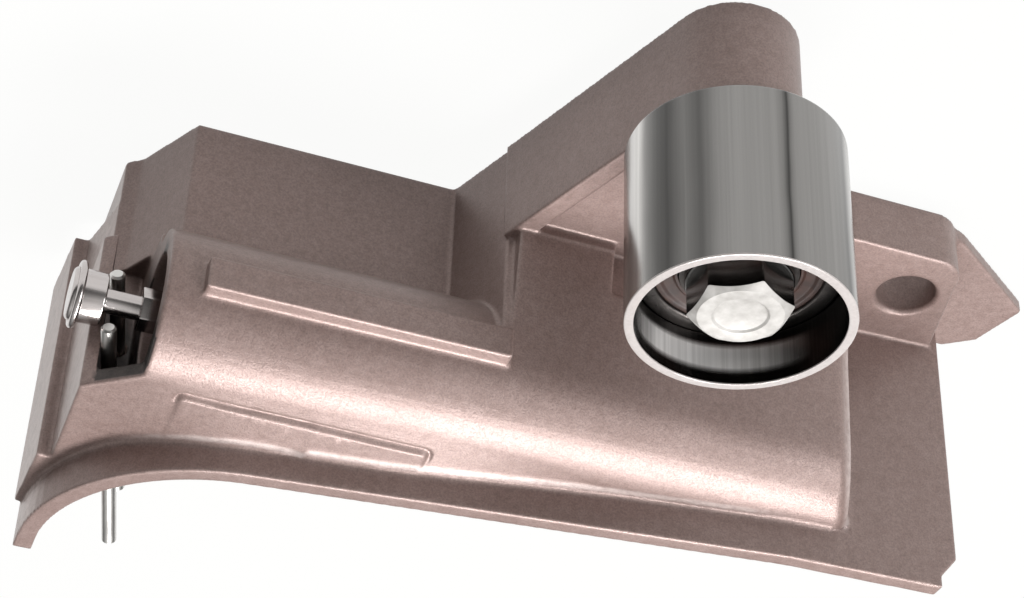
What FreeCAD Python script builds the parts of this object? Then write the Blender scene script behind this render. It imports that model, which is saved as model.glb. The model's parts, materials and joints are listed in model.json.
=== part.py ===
"""Timing belt tensioner: a die-cast arm with a belt roller, an oil damper and a transport pin.

The casting swings about the bore in its ear. Its long barrel holds an oil damper whose push rod
bears on a stop of the engine, and the roller at the end of the short arm presses on the belt.
Frame: millimetres, X along the damper, Z along the roller axis away from the engine, and the
origin where the roller axis meets the engine-side face.
"""
import FreeCAD, Part
import math
import os
import re
import Sketcher

SIZES = {
    # roller and its bearing, heights along Z from the engine-side face
    "roller_radius": 20.0, "roller_rear": 26.4, "roller_front": 63.4, "sleeve_wall": 1.7,
    "sleeve_lip": 1.2, "sleeve_edge": 0.5,
    "bearing_rear": 28.4, "bearing_front": 53.0, "ball_row_rear": 34.6, "ball_row_front": 46.8,
    "ball_radius": 3.2, "balls_per_row": 9, "race_gap": 0.04, "race_shoulder": 2.25,
    "ball_row_shift": 0.95, "seal_thickness": 1.2, "seal_inset": 0.6, "seal_gap": 0.25,
    "cage_wall": 1.2, "cage_gap": 0.15,
    "washer_radius": 9.6, "washer_thickness": 2.0, "spacer_radius": 9.0, "bolt_gap": 0.1,
    "bolt_radius": 5.0, "bolt_flats": 16.2, "bolt_head_height": 6.7, "bolt_head_chamfer": 0.9,
    "bolt_reach": 18.0, "thread_core": 4.25, "bolt_hole_spare": 1.6,
    # arm and boss
    "arm_radius": 12.5, "arm_lean": 19.8, "arm_front": 22.4, "arm_rim": 4.0, "arm_recess": 2.0,
    "boss_front": 23.4, "boss_radius": 10.5, "arm_root_y": -43.2,
    "arm_right_x": 36.0, "arm_right_y": -40.5,
    # barrel that holds the damper
    "barrel_y": -59.8, "barrel_z": 46.4, "barrel_radius": 15.8, "barrel_start": -91.0,
    "bore_radius": 11.0, "bore_tip": 6.0,
    "wall_height": 28.0, "notch_x": -34.0, "peak_x": -87.1,
    "shoulder_x": -95.0, "shoulder_y": -74.8, "corner_x": -97.9, "corner_y": -77.0, "wing_rear": 10.4,
    # block under the roller
    "block_start": -26.4, "block_top": -39.2, "block_foot": 20.4, "block_tangent": 80.5,
    "block_end": 26.5, "block_end_lean": 20.3, "block_step": 4.0, "block_step_start": -27.9,
    "relief_left": -7.0, "relief_right": 20.0, "relief_y": -43.0, "relief_front": 31.0,
    # window at the damper's end
    "end_x": -101.0, "end_gap": 0.6, "end_wall": 2.6, "window_drop": 16.2,
    "window_front_wall": 3.4, "lip_rise": 7.6,
    # belt guard
    "guard_thickness": 3.7, "guard_front": 70.0, "guard_kink_x": 37.0, "guard_kink_y": -57.9,
    "guard_end_x": 73.2, "guard_end_slope": 1.9, "guard_slope": 6.8,
    "guard_bend_radius": 40.6, "wing_x": -103.0, "wing_length": 3.9, "ledge_y": -91.5, "ledge_width": 2.8,
    "wing_lean": 1.6, "notch_width": 3.6, "notch_depth": 7.0, "notch_step": 2.6,
    # pivot ear and its flange
    "ear_front": 12.4, "ear_left_x": 39.5, "ear_top": -29.3, "ear_right_x": 66.0,
    "ear_corner": 7.0, "ear_foot_x": 72.0, "pivot_x": 58.1, "pivot_y": -42.4,
    "pivot_radius": 6.0, "pivot_chamfer": 0.7,
    "flange_front": 3.0, "flange_shoulder_x": 68.0, "flange_shoulder_y": -33.6,
    "flange_tip_x": 90.0, "flange_tip_top": -49.5, "flange_low_x": 86.4, "flange_low_y": -62.3,
    "flange_foot_x": 80.4, "flange_foot_y": -66.9, "flange_inner_x": 58.0,
    # raised pad and shallow panel, both bare
    "pad_start": -84.4, "pad_lift": 18.5, "pad_rear": 44.5, "pad_front": 51.0, "pad_rise": 8.0,
    "panel_start": -83.6, "panel_end": -37.1, "panel_lift": 1.4, "panel_height": 8.6,
    "panel_depth": 0.7,
    # hollows open to the engine side
    "skin": 3.6, "hollow_width": 17.5, "rib_thickness": 3.0, "hollow_depth": 25.0,
    "arm_hollow_depth": 12.0, "arm_hollow_low": -34.0, "arm_hollow_high": -15.0,
    # damper, places along X
    "sleeve_radius": 10.97, "sleeve_bore": 7.5, "sleeve_left": -68.0, "sleeve_right": 4.0,
    "sleeve_floor": 4.0, "valve_bore": 1.5, "valve_seat": 0.5,
    "plunger_radius": 7.46, "plunger_left": -57.0, "plunger_length": 44.0, "plunger_hollow": 6.0,
    "plunger_hollow_depth": 22.0, "rod_socket": 9.0,
    "spring_wire": 1.4, "spring_radius": 4.7, "spring_turns": 6, "spring_seat": 0.1,
    "check_ball_radius": 2.4, "ball_cup_radius": 3.6, "ball_cup_flange": 7.2,
    "ball_cup_wall": 0.6, "ball_cup_length": 7.6, "ball_cup_vent": 1.0,
    "ball_spring_wire": 0.7, "ball_spring_radius": 1.5, "ball_spring_turns": 3, "ball_spring_seat": 0.35,
    "rod_radius": 3.6, "guide_length": 10.0, "guide_gap": 0.04,
    "seal_length": 4.0, "seal_lip_gap": 0.1, "backing_length": 1.5, "backing_gap": 0.5,
    "clip_thickness": 1.2, "clip_width": 2.4, "clip_groove": 0.8, "clip_slack": 0.1,
    "clip_opening": 50.0,
    "rod_left": -106.2, "rod_head_radius": 5.0, "rod_head_length": 6.4, "rod_neck_radius": 1.8,
    "rod_neck_length": 6.6, "rod_hex_flats": 6.6, "rod_hex_length": 4.2, "rod_chamfer": 0.5,
    "wire_ring_radius": 0.7, "wire_ring_place": 1.5,
    # transport pins, one on each side of the rod behind its head
    "pin_radius": 1.45, "pin_gap": 0.1, "pin_x": -98.05, "pin_offset": 6.05, "pin_tip": 0.6,
    "pin_length": 55.0, "pin_turn": -75.7, "pin_rise": 14.9, "pin_chamfer": 0.4,
}

doc = FreeCAD.newDocument("belt_tensioner")
dims = doc.addObject("Spreadsheet::Sheet", "dims")
for row, (name, size) in enumerate(SIZES.items(), start=1):
    dims.set("A%d" % row, name)
    dims.set("B%d" % row, str(size))
    dims.setAlias("B%d" % row, name)
doc.recompute()

PARTS = []


def expr(text):
    """Turns the names of sizes in a formula into references to the sheet."""
    return re.sub(r"[a-z][a-z_]+", lambda m: "dims." + m.group() if m.group() in SIZES else m.group(), text)


def number(text):
    """Works a formula out with the sheet's present values."""
    result = dims.evalExpression(expr(text))
    return float(getattr(result, "Value", result))


def bind(thing, prop, text):
    thing.setExpression(prop, expr(text))


def part(thing, label):
    """Registers a finished sub-part under the name of its file."""
    thing.Label = label
    PARTS.append(thing)
    return thing


def new_body(name):
    return doc.addObject("PartDesign::Body", name + "_body")


def plane(body, role):
    return next(f for f in body.Origin.OriginFeatures if f.Role == role)


def new_sketch(body, role, offset="0"):
    sketch = body.newObject("Sketcher::SketchObject", body.Name + "_sketch")
    sketch.AttachmentSupport = (plane(body, role), [""])
    sketch.MapMode = "FlatFace"
    bind(sketch, "AttachmentOffset.Base.z", offset)
    return sketch


def pin_point(sketch, edge, end, x_text, y_text):
    """Holds one end of an edge at a place given by two formulas."""
    for kind, text in (("DistanceX", x_text), ("DistanceY", y_text)):
        index = sketch.addConstraint(Sketcher.Constraint(kind, -1, 1, edge, end, number(text)))
        bind(sketch, "Constraints[%d]" % index, text)


def draw_outline(sketch, points):
    """Draws a closed outline through (x, y) formulas.

    A point may carry a third value, the radius of the arc from it to the next point. A leading
    minus sign makes that arc turn clockwise.
    """
    vertices = [FreeCAD.Vector(number(p[0]), number(p[1]), 0) for p in points]
    edges = []
    for index, point in enumerate(points):
        start = vertices[index]
        stop = vertices[(index + 1) % len(points)]
        if len(point) == 2:
            edges.append((sketch.addGeometry(Part.LineSegment(start, stop)), 1, 2))
            continue
        clockwise = point[2].startswith("-")
        radius_text = point[2].lstrip("-")
        radius = number(radius_text)
        chord = stop - start
        side = -1 if clockwise else 1
        rise = math.sqrt(max(radius ** 2 - (chord.Length / 2) ** 2, 0))
        normal = FreeCAD.Vector(-chord.y, chord.x, 0).normalize()
        centre = (start + stop) * 0.5 + normal * rise * side
        first, last = (stop, start) if clockwise else (start, stop)
        angles = [math.atan2(v.y - centre.y, v.x - centre.x) for v in (first, last)]
        circle = Part.Circle(centre, FreeCAD.Vector(0, 0, 1), radius)
        edge = sketch.addGeometry(Part.ArcOfCircle(circle, angles[0], angles[1]))
        edges.append((edge, 2, 1) if clockwise else (edge, 1, 2))
        index = sketch.addConstraint(Sketcher.Constraint("Radius", edge, radius))
        bind(sketch, "Constraints[%d]" % index, radius_text)
    for index, (edge, start_end, stop_end) in enumerate(edges):
        following, following_start, _ = edges[(index + 1) % len(edges)]
        sketch.addConstraint(Sketcher.Constraint("Coincident", edge, stop_end, following, following_start))
        pin_point(sketch, edge, start_end, points[index][0], points[index][1])


def draw_circle(sketch, x_text, y_text, radius_text):
    centre = FreeCAD.Vector(number(x_text), number(y_text), 0)
    edge = sketch.addGeometry(Part.Circle(centre, FreeCAD.Vector(0, 0, 1), number(radius_text)))
    pin_point(sketch, edge, 3, x_text, y_text)
    index = sketch.addConstraint(Sketcher.Constraint("Radius", edge, number(radius_text)))
    bind(sketch, "Constraints[%d]" % index, radius_text)


def pad(body, sketch, length, backwards=False):
    feature = body.newObject("PartDesign::Pad", body.Name + "_pad")
    feature.Profile = sketch
    bind(feature, "Length", length)
    feature.Reversed = backwards
    doc.recompute()
    return feature


def pocket(body, sketch, length, forwards=True):
    """Cuts away what lies in front of the sketch, and checks that something went."""
    before = body.Shape.Volume
    feature = body.newObject("PartDesign::Pocket", body.Name + "_pocket")
    feature.Profile = sketch
    bind(feature, "Length", length)
    feature.Reversed = forwards
    doc.recompute()
    if body.Shape.Volume >= before:
        raise RuntimeError("a pocket of %s cut nothing" % body.Name)
    return feature


def turned(name, points, role="XZ_Plane", axis="V_Axis"):
    """Makes a turned piece from its half section."""
    body = new_body(name)
    sketch = new_sketch(body, role)
    draw_outline(sketch, points)
    feature = body.newObject("PartDesign::Revolution", name + "_turning")
    feature.Profile = sketch
    feature.ReferenceAxis = (sketch, [axis])
    feature.Angle = 360
    doc.recompute()
    return part(body, name)


def on_barrel_axis(thing):
    """Moves a piece drawn round the X axis onto the barrel's axis."""
    bind(thing, "Placement.Base.y", "barrel_y")
    bind(thing, "Placement.Base.z", "barrel_z")
    return thing


def turned_on_barrel(name, points):
    return on_barrel_axis(turned(name, points, "XY_Plane", "H_Axis"))


def ring_section(inner, outer, low, high):
    """Half section of a plain ring: radii, then the places of its two faces."""
    return [(inner, low), (outer, low), (outer, high), (inner, high)]


def barrel_section(inner, outer, left, right):
    return [(left, inner), (right, inner), (right, outer), (left, outer)]


# Formulas that several outlines share
BEND_CENTRE_X = "(wing_x + guard_bend_radius)"
BEND_X = "(%s - guard_bend_radius * sin(guard_slope))" % BEND_CENTRE_X
BEND_Y = "(guard_kink_y - (guard_kink_x - %s) * tan(guard_slope))" % BEND_X
BEND_CENTRE_Y = "(%s - guard_bend_radius * cos(guard_slope))" % BEND_Y
GUARD_END_Y = "(guard_kink_y + (guard_end_x - guard_kink_x) * tan(guard_end_slope))"


def guard_line(depth):
    """Points of the guard's wall at a depth under its outer surface, from right to left."""
    radius = "(guard_bend_radius - %s)" % depth
    return [
        ("guard_kink_x", "guard_kink_y - %s" % depth),
        ("%s + %s * sin(guard_slope)" % (BEND_X, depth),
         "%s - %s * cos(guard_slope)" % (BEND_Y, depth), radius),
        ("%s - %s" % (BEND_CENTRE_X, radius), BEND_CENTRE_Y),
    ]


def block_end_at(y_text):
    """X of the block's slanted right end at a given Y."""
    return "(block_end / cos(block_end_lean) - (%s) * tan(block_end_lean))" % y_text


def arm_side(reach, y_text):
    """X of a line along the arm's left side, at a distance from the roller axis."""
    return "((%s) * tan(arm_lean) - (%s) / cos(arm_lean))" % (y_text, reach)


def box(left, right, low, high):
    return [(left, low), (right, low), (right, high), (left, high)]


def hexagon(flats, shift_x="0", shift_y="0"):
    corner = "%s / 2 / cos(30)" % flats
    return [("%s + %s * cos(%d)" % (shift_x, corner, 60 * k), "%s + %s * sin(%d)" % (shift_y, corner, 60 * k))
            for k in range(6)]


WING_TIP = "(%s - wing_length)" % BEND_CENTRE_Y
BLOCK_RIGHT = block_end_at("guard_kink_y")
FRONT_Z = "(barrel_z + barrel_radius)"
END_TOP = "(barrel_y - rod_head_radius - end_gap)"
WINDOW_LEFT = "(end_x + end_wall)"
PAD_TOP = "(barrel_y + pad_lift)"
PANEL_TOP = "(barrel_y + panel_lift)"
SLEEVE_BED = "(sleeve_right - sleeve_floor)"
CLIP_RIGHT = "(sleeve_left - guide_length - seal_length - backing_length)"
BALL_PITCH = "((bolt_radius + bolt_gap + roller_radius - sleeve_wall) / 2 + ball_row_shift)"
INNER_SHOULDER = "(%s - race_shoulder)" % BALL_PITCH
OUTER_SHOULDER = "(%s + race_shoulder)" % BALL_PITCH


def guard_inside_at(x_text, depth):
    """Y of the guard's rounded part at a given X, at a depth under its outer surface."""
    return "(%s + sqrt((guard_bend_radius - %s) ^ 2 - (%s - %s) ^ 2))" % (
        BEND_CENTRE_Y, depth, x_text, BEND_CENTRE_X)


def left_end():
    """Outline of the casting's left end, from the wing's tip up to the ledge."""
    return [
        ("wing_x + guard_thickness / 2", "%s + guard_thickness" % WING_TIP),
        ("wing_x - wing_lean", "%s + guard_thickness" % WING_TIP),
        ("end_x - ledge_width", "ledge_y"),
        ("end_x", "ledge_y"),
    ]


def layer(body, points, low, high):
    """Adds material between two heights over an outline seen from the front."""
    sketch = new_sketch(body, "XY_Plane", low)
    draw_outline(sketch, points)
    return pad(body, sketch, "%s - (%s)" % (high, low))


def hollow(body, outlines, low, high):
    """Cuts outlines seen from the front away between two heights."""
    sketch = new_sketch(body, "XY_Plane", low)
    for points in outlines:
        draw_outline(sketch, points)
    return pocket(body, sketch, "%s - (%s)" % (high, low))


def turned_cut(body, role, points, axis, shift_x, shift_y, shift_z):
    """Cuts a turned shape whose axis goes through a shifted place of one of the planes."""
    before = body.Shape.Volume
    sketch = new_sketch(body, role, shift_z)
    bind(sketch, "AttachmentOffset.Base.x", shift_x)
    bind(sketch, "AttachmentOffset.Base.y", shift_y)
    draw_outline(sketch, points)
    feature = body.newObject("PartDesign::Groove", body.Name + "_turned_cut")
    feature.Profile = sketch
    feature.ReferenceAxis = (sketch, [axis])
    feature.Angle = 360
    doc.recompute()
    if body.Shape.Volume >= before:
        raise RuntimeError("a turned cut of %s cut nothing" % body.Name)
    return feature


def lay_along(thing, turn, rise):
    """Turns a thing drawn along Z to point at an angle in plan and an angle above it."""
    thing.Placement.Rotation = FreeCAD.Rotation(FreeCAD.Vector(0, 1, 0), 10)
    bind(thing, "Placement.Rotation.Axis.x", "-sin(%s)" % turn)
    bind(thing, "Placement.Rotation.Axis.y", "cos(%s)" % turn)
    bind(thing, "Placement.Rotation.Axis.z", "0")
    bind(thing, "Placement.Rotation.Angle", "90 - %s" % rise)


def aim_along_pin(thing, side):
    """Puts a thing drawn along Z at the inner end of the pin on one side of the rod."""
    bind(thing, "Placement.Base.x", "pin_x - pin_tip * cos(pin_turn) * cos(pin_rise)")
    bind(thing, "Placement.Base.y", "barrel_y - pin_tip * sin(pin_turn) * cos(pin_rise)")
    bind(thing, "Placement.Base.z", "barrel_z %s pin_offset - pin_tip * sin(pin_rise)" % side)
    lay_along(thing, "pin_turn", "pin_rise")
    return thing


def add_main_masses(body):
    """The wall behind the barrel, the barrel with its flat front, and the block."""
    half_wall = "guard_thickness / 2"
    guard_run = guard_line(half_wall)
    right_end = (BLOCK_RIGHT, "barrel_y")

    layer(body, [
        (guard_run[1][0], guard_run[1][1], guard_run[1][2]),
        ("corner_x", guard_inside_at("corner_x", half_wall)),
        ("corner_x", "corner_y"),
        ("shoulder_x", "shoulder_y"),
        ("peak_x", "barrel_y"),
        right_end,
    ], "0", "wing_rear")
    layer(body, guard_run[1:] + left_end() + [
        ("corner_x", "corner_y"),
        ("shoulder_x", "shoulder_y"),
        ("peak_x", "barrel_y"),
        right_end,
    ], "wing_rear", "wall_height")
    layer(body, guard_run[1:] + left_end() + [
        ("end_x", END_TOP),
        ("barrel_start", "%s + lip_rise" % END_TOP),
        ("barrel_start", "barrel_y"),
        right_end,
    ], "wall_height", FRONT_Z)

    barrel = new_sketch(body, "YZ_Plane", "barrel_start")
    draw_circle(barrel, "barrel_y", "barrel_z", "barrel_radius")
    pad(body, barrel, "block_start - barrel_start + barrel_radius")

    raised_pad = new_sketch(body, "YZ_Plane", "pad_start")
    draw_outline(raised_pad, box("%s - pad_rise" % PAD_TOP, PAD_TOP, "pad_rear", "pad_front"))
    pad(body, raised_pad, "block_start - pad_start")

    layer(body, [
        ("notch_x", "barrel_y"),
        ("block_start", "barrel_y"),
        ("block_start", "block_top - block_step"),
        ("block_step_start", "block_top - block_step"),
    ], "0", "pad_front")

    block = new_sketch(body, "YZ_Plane", "block_start")
    draw_outline(block, [
        ("barrel_y", "0"),
        ("block_top", "0"),
        ("block_top", "block_foot"),
        ("barrel_y + barrel_radius * sin(block_tangent)",
         "barrel_z + barrel_radius * cos(block_tangent)", "barrel_radius"),
        ("barrel_y", FRONT_Z),
    ])
    pad(body, block, "%s - block_start" % BLOCK_RIGHT)
    hollow(body, [[
        (BLOCK_RIGHT, "guard_kink_y"),
        (BLOCK_RIGHT, "block_top + block_step"),
        (block_end_at("block_top + block_step"), "block_top + block_step"),
    ]], "0", FRONT_Z)


def add_arm(body):
    layer(body, [
        (arm_side("arm_radius", "arm_root_y"), "arm_root_y"),
        ("arm_right_x", "arm_root_y"),
        ("arm_right_x", "arm_right_y"),
        ("arm_radius * cos(arm_lean)", "arm_radius * sin(arm_lean)", "arm_radius"),
        ("-arm_radius * cos(arm_lean)", "arm_radius * sin(arm_lean)"),
    ], "0", "arm_front")
    reach = "(arm_radius - arm_rim)"
    hollow(body, [[
        ("-%s * cos(arm_lean)" % reach, "%s * sin(arm_lean)" % reach),
        (arm_side(reach, "block_top"), "block_top"),
        ("arm_right_x - arm_rim", "block_top"),
        ("%s * cos(arm_lean)" % reach, "%s * sin(arm_lean)" % reach),
    ]], "arm_front - arm_recess", "arm_front")
    boss = new_sketch(body, "XY_Plane", "arm_front - arm_recess")
    draw_circle(boss, "0", "0", "boss_radius")
    pad(body, boss, "boss_front - arm_front + arm_recess")
    hollow(body, [box("relief_left", "relief_right", "relief_y", "block_top + block_step")],
           "block_foot", "relief_front")


def add_guard_and_ear(body):
    inner = guard_line("guard_thickness")
    outer = guard_line("0")
    layer(body, [("guard_end_x", GUARD_END_Y)] + outer[:2] + [
        ("corner_x", guard_inside_at("corner_x", "0")),
        ("corner_x", guard_inside_at("corner_x", "guard_thickness"), "-(guard_bend_radius - guard_thickness)"),
        inner[1][:2],
        inner[0],
        ("guard_end_x", "%s - guard_thickness" % GUARD_END_Y),
    ], "0", "wing_rear")
    layer(body, [("guard_end_x", GUARD_END_Y)] + outer + [
        ("wing_x", WING_TIP),
        ("wing_x + guard_thickness", WING_TIP),
        (inner[2][0], inner[2][1], "-(guard_bend_radius - guard_thickness)"),
        inner[1][:2],
        inner[0],
        ("guard_end_x", "%s - guard_thickness" % GUARD_END_Y),
    ], "wing_rear", "guard_front")
    notch = new_sketch(body, "XZ_Plane", "-(guard_kink_y + 2 * guard_thickness)")
    draw_outline(notch, [
        ("guard_end_x - notch_width", "guard_front"),
        ("guard_end_x - notch_width", "guard_front - notch_step"),
        ("guard_end_x", "guard_front - notch_depth"),
        ("guard_end_x + notch_width", "guard_front - notch_depth"),
        ("guard_end_x + notch_width", "guard_front"),
    ])
    pocket(body, notch, "4 * guard_thickness")

    layer(body, [
        ("ear_left_x", "guard_kink_y - guard_thickness / 2"),
        ("ear_foot_x", "guard_kink_y - guard_thickness / 2"),
        ("ear_right_x", "ear_top - ear_corner", "ear_corner"),
        ("ear_right_x - ear_corner", "ear_top"),
        ("ear_left_x", "ear_top"),
    ], "0", "ear_front")
    layer(body, [
        ("flange_inner_x", "ear_top - ear_corner"),
        ("flange_inner_x", "flange_foot_y"),
        ("flange_foot_x", "flange_foot_y"),
        ("flange_low_x", "flange_low_y"),
        ("flange_tip_x", "flange_tip_top"),
        ("flange_shoulder_x", "flange_shoulder_y"),
        ("ear_right_x - ear_corner", "ear_top"),
    ], "0", "flange_front")


def cut_openings(body):
    """Window, damper bore, bolt and pivot holes, pin hole and the hollows at the back."""
    hollow(body, [box(WINDOW_LEFT, "barrel_start", "barrel_y - window_drop", "%s + 2 * lip_rise" % END_TOP)],
           "wall_height", "%s - window_front_wall" % FRONT_Z)
    turned_cut(body, "XY_Plane", [
        ("barrel_start - end_wall", "0"),
        ("sleeve_right + bore_tip", "0"),
        ("sleeve_right", "bore_radius"),
        ("%s + clip_slack" % CLIP_RIGHT, "bore_radius"),
        ("%s + clip_slack" % CLIP_RIGHT, "bore_radius + clip_groove"),
        ("%s - clip_thickness - clip_slack" % CLIP_RIGHT, "bore_radius + clip_groove"),
        ("%s - clip_thickness - clip_slack" % CLIP_RIGHT, "bore_radius"),
        ("barrel_start - end_wall", "bore_radius"),
    ], "H_Axis", "0", "barrel_y", "barrel_z")
    turned_cut(body, "XZ_Plane", [
        ("0", "0"),
        ("pivot_radius + pivot_chamfer", "0"),
        ("pivot_radius", "pivot_chamfer"),
        ("pivot_radius", "ear_front - pivot_chamfer"),
        ("pivot_radius + pivot_chamfer", "ear_front"),
        ("0", "ear_front"),
    ], "V_Axis", "pivot_x", "0", "-pivot_y")
    bolt_hole = new_sketch(body, "XY_Plane", "boss_front - bolt_reach - bolt_hole_spare")
    draw_circle(bolt_hole, "0", "0", "thread_core")
    pocket(body, bolt_hole, "bolt_reach + bolt_hole_spare")

    for side in "+-":
        pin_hole = body.newObject("Sketcher::SketchObject", "pin_hole_sketch")
        draw_circle(pin_hole, "0", "0", "pin_radius + pin_gap")
        aim_along_pin(pin_hole, side)
        doc.recompute()
        pocket(body, pin_hole, "pin_length")

    pitch = "(hollow_width + rib_thickness)"
    block_hollows = []
    for k in range(3):
        left = "block_start + skin + %d * %s" % (k, pitch)
        block_hollows.append(box(left, "%s + hollow_width" % left, "guard_kink_y + skin",
                                 "block_top - block_step"))
    hollow(body, block_hollows, "0", "hollow_depth")
    reach = "(arm_radius - skin)"
    hollow(body, [
        [(arm_side(reach, "arm_hollow_high"), "arm_hollow_high"),
         (arm_side(reach, "arm_hollow_low"), "arm_hollow_low"),
         ("-rib_thickness / 2", "arm_hollow_low"),
         ("-rib_thickness / 2", "arm_hollow_high")],
        box("rib_thickness / 2", "hollow_width + rib_thickness / 2", "arm_hollow_low", "arm_hollow_high"),
    ], "0", "arm_hollow_depth")


def make_housing():
    body = new_body("housing")
    add_main_masses(body)
    hollow(body, [box("panel_start", "panel_end", "%s - panel_height" % PANEL_TOP, PANEL_TOP)],
           "%s - panel_depth" % FRONT_Z, FRONT_Z)
    add_arm(body)
    add_guard_and_ear(body)
    cut_openings(body)
    return part(body, "housing")


def make_roller():
    sleeve_inside = "(roller_radius - sleeve_wall)"
    turned("roller_sleeve", [
        ("%s - sleeve_lip" % sleeve_inside, "roller_rear"),
        ("roller_radius - sleeve_edge", "roller_rear"),
        ("roller_radius", "roller_rear + sleeve_edge"),
        ("roller_radius", "roller_front - sleeve_edge"),
        ("roller_radius - sleeve_edge", "roller_front"),
        (sleeve_inside, "roller_front"),
        (sleeve_inside, "bearing_rear"),
        ("%s - sleeve_lip" % sleeve_inside, "bearing_rear"),
    ])
    race = "(ball_radius + race_gap)"
    half = "sqrt(%s ^ 2 - race_shoulder ^ 2)" % race
    turned("bearing_inner_ring", [
        ("bolt_radius + bolt_gap", "bearing_rear"),
        (INNER_SHOULDER, "bearing_rear"),
        (INNER_SHOULDER, "ball_row_rear - %s" % half, "-" + race),
        (INNER_SHOULDER, "ball_row_rear + %s" % half),
        (INNER_SHOULDER, "ball_row_front - %s" % half, "-" + race),
        (INNER_SHOULDER, "ball_row_front + %s" % half),
        (INNER_SHOULDER, "bearing_front"),
        ("bolt_radius + bolt_gap", "bearing_front"),
    ])
    turned("bearing_outer_ring", [
        (OUTER_SHOULDER, "bearing_rear"),
        (sleeve_inside, "bearing_rear"),
        (sleeve_inside, "bearing_front"),
        (OUTER_SHOULDER, "bearing_front"),
        (OUTER_SHOULDER, "ball_row_front + %s" % half, "-" + race),
        (OUTER_SHOULDER, "ball_row_front - %s" % half),
        (OUTER_SHOULDER, "ball_row_rear + %s" % half, "-" + race),
        (OUTER_SHOULDER, "ball_row_rear - %s" % half),
    ])
    seal_bore = "%s + seal_gap" % INNER_SHOULDER
    rear_inside = "(bearing_rear + seal_inset + seal_thickness)"
    front_inside = "(bearing_front - seal_inset - seal_thickness)"
    turned("rear_bearing_seal", ring_section(
        seal_bore, OUTER_SHOULDER, "bearing_rear + seal_inset", rear_inside))
    turned("front_bearing_seal", ring_section(
        seal_bore, OUTER_SHOULDER, front_inside, "bearing_front - seal_inset"))

    cage_ring = turned("bearing_cage_ring", ring_section(
        "%s - cage_wall / 2" % BALL_PITCH, "%s + cage_wall / 2" % BALL_PITCH,
        "%s + cage_gap" % rear_inside, "%s - cage_gap" % front_inside))
    PARTS.remove(cage_ring)
    balls = []
    cutters = []
    for row in ("ball_row_rear", "ball_row_front"):
        for k in range(int(number("balls_per_row"))):
            turn = "%d * 360 / balls_per_row" % k
            ball = doc.addObject("Part::Sphere", "ball")
            bind(ball, "Radius", "ball_radius")
            bind(ball, "Placement.Base.x", "%s * cos(%s)" % (BALL_PITCH, turn))
            bind(ball, "Placement.Base.y", "%s * sin(%s)" % (BALL_PITCH, turn))
            bind(ball, "Placement.Base.z", row)
            balls.append(ball)
            cutter = doc.addObject("Part::Cylinder", "cage_pocket")
            bind(cutter, "Radius", "ball_radius + cage_gap")
            bind(cutter, "Height", "4 * cage_wall")
            bind(cutter, "Placement.Base.x", "(%s - 2 * cage_wall) * cos(%s)" % (BALL_PITCH, turn))
            bind(cutter, "Placement.Base.y", "(%s - 2 * cage_wall) * sin(%s)" % (BALL_PITCH, turn))
            bind(cutter, "Placement.Base.z", row)
            lay_along(cutter, turn, "0")
            cutters.append(cutter)
    group = doc.addObject("Part::Compound", "balls")
    group.Links = balls
    part(group, "bearing_balls")
    cutter = doc.addObject("Part::Compound", "ball_cutters")
    cutter.Links = cutters
    cage = doc.addObject("Part::Cut", "cage")
    cage.Base = cage_ring
    cage.Tool = cutter
    part(cage, "bearing_cage")

    turned("roller_spacer", ring_section("bolt_radius + bolt_gap", "spacer_radius", "boss_front", "bearing_rear"))
    washer_front = "bearing_front + washer_thickness"
    turned("bolt_washer", ring_section("bolt_radius + bolt_gap", "washer_radius", "bearing_front", washer_front))
    head_front = "(%s + bolt_head_height)" % washer_front
    bolt = turned("roller_bolt", [
        ("0", "boss_front - bolt_reach"),
        ("thread_core - bolt_gap", "boss_front - bolt_reach"),
        ("thread_core", "boss_front - bolt_reach + bolt_gap"),
        ("thread_core", "boss_front"),
        ("bolt_radius", "boss_front"),
        ("bolt_radius", washer_front),
        ("0", washer_front),
    ])
    head = new_sketch(bolt, "XY_Plane", washer_front)
    draw_outline(head, hexagon("bolt_flats"))
    pad(bolt, head, "bolt_head_height")
    corner = "(bolt_flats / 2 / cos(30))"
    turned_cut(bolt, "XZ_Plane", [
        ("bolt_flats / 2 - bolt_head_chamfer", head_front),
        ("%s + bolt_gap" % corner, "%s - (%s + bolt_gap - bolt_flats / 2 + bolt_head_chamfer) / 2"
         % (head_front, corner)),
        ("%s + bolt_gap" % corner, head_front),
    ], "V_Axis", "0", "0", "0")


def spring(name, radius, wire, turns, left, right):
    """Coils a round wire about the barrel's axis between two places."""
    path = doc.addObject("Part::Helix", name + "_path")
    bind(path, "Radius", radius)
    bind(path, "Height", "(%s) - (%s) - %s" % (right, left, wire))
    bind(path, "Pitch", "((%s) - (%s) - %s) / %s" % (right, left, wire, turns))
    path.SegmentLength = 0
    section = doc.addObject("Part::Circle", name + "_section")
    bind(section, "Radius", "%s / 2" % wire)
    bind(section, "Placement.Base.x", radius)
    section.Placement.Rotation = FreeCAD.Rotation(FreeCAD.Vector(1, 0, 0), 90)
    coil = doc.addObject("Part::Sweep", name)
    coil.Sections = [section]
    doc.recompute()
    coil.Spine = (path, ["Edge%d" % (k + 1) for k in range(len(path.Shape.Edges))])
    coil.Solid = True
    coil.Frenet = True
    coil.Placement.Rotation = FreeCAD.Rotation(FreeCAD.Vector(0, 1, 0), 90)
    bind(coil, "Placement.Base.x", "%s + %s / 2" % (left, wire))
    on_barrel_axis(coil)
    return part(coil, name)


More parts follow.
